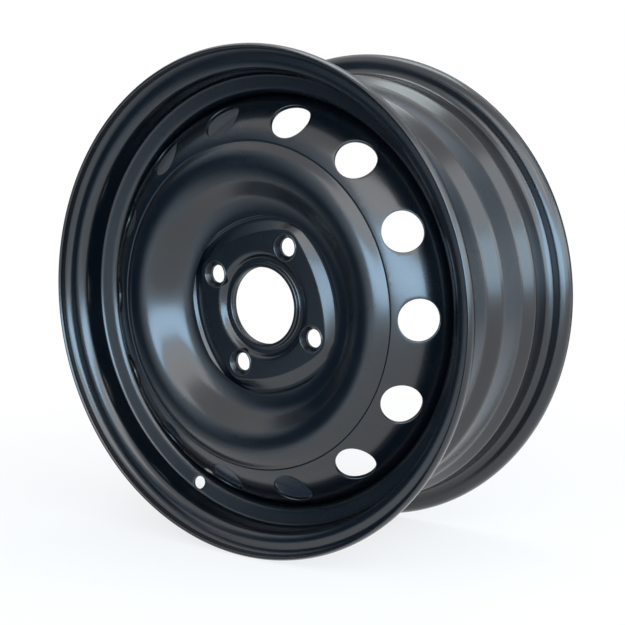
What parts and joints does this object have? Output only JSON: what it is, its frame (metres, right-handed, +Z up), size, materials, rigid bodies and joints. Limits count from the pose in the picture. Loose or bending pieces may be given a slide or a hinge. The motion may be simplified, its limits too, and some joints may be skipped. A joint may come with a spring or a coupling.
{
  "type": "steel car wheel rim",
  "caption": "Black painted pressed-steel car wheel: rolled drop-centre rim, stamped disc with a ring of round vent holes, conical bolt seats and a wide centre bore, no tyre.",
  "frame": {"origin": "the wheel's centre: on the axle line, midway between the two flanges' lips", "axes": "+Y along the axle towards the car, so the outboard face looks towards -Y; +Z up as the wheel stands in the picture, with the valve hole low on the left"},
  "size_m": [0.4148, 0.18, 0.4148],
  "materials": {
    "black_paint": "satin gloss"
  },
  "bodies": {
    "root": {"rim": "black_paint", "disc": "black_paint", "weld_beads": "black_paint"}
  },
  "joints": []
}
